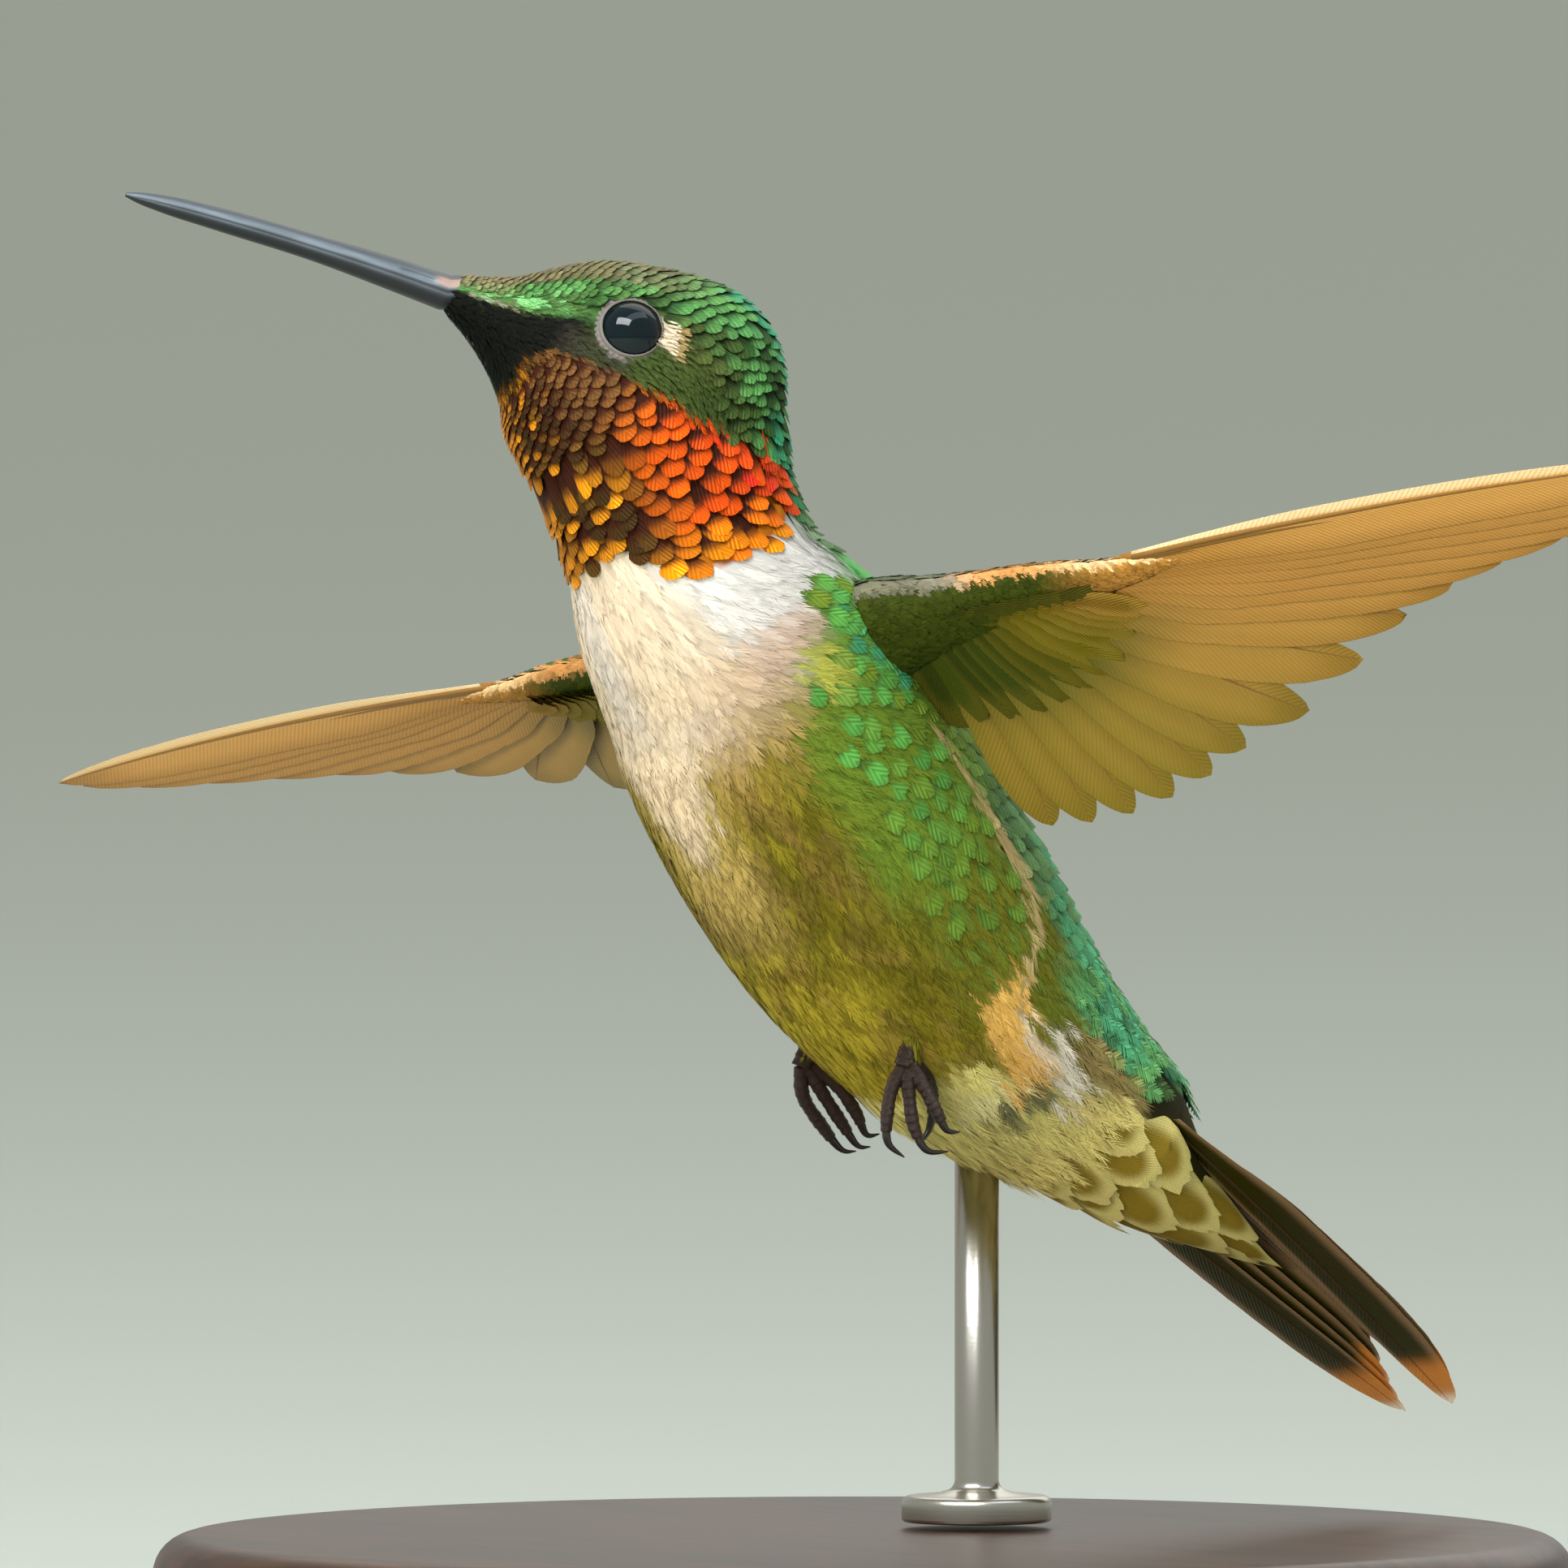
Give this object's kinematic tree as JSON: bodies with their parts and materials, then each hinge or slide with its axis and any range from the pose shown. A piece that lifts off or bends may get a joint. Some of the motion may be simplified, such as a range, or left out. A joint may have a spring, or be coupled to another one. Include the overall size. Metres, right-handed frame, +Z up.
{
  "type": "ruby-throated hummingbird display model",
  "caption": "Life-size hovering male hummingbird with spread wings, head turned to its right and slim tail, held on a disc base by a short rod.",
  "frame": {"origin": "centre of the stand's flat underside", "axes": "+Z up, the bird's body heads towards -Y, and its left wing points to +X"},
  "size_m": [0.1065, 0.064, 0.0665],
  "materials": {
    "bill_horn": null,
    "head_feathers": "iridescent green crown and bronze to orange-red throat feathers",
    "collar_feathers": "soft off-white feathers",
    "body_feathers": "soft buff and olive feathers with green spangles on the flank and green back",
    "rump_feathers": "iridescent teal-green feathers above, white fluff below",
    "tail_feathers": "smooth dark brown vanes",
    "wing_feathers": "smooth brown vanes, slightly translucent",
    "eye": null,
    "foot_scales": null,
    "base_wood": "dark stained hardwood under satin varnish",
    "rod_steel": "turned steel, lightly brushed"
  },
  "bodies": {
    "root": {"bill": "bill_horn", "head": "head_feathers", "neck": "collar_feathers", "torso": "body_feathers", "rump": "rump_feathers", "tail": "tail_feathers", "eye_left": "eye", "eye_right": "eye", "wing_left": "wing_feathers", "wing_right": "wing_feathers", "leg_left": "foot_scales", "leg_right": "foot_scales", "stand_base": "base_wood", "stand_rod": "rod_steel"}
  },
  "joints": []
}
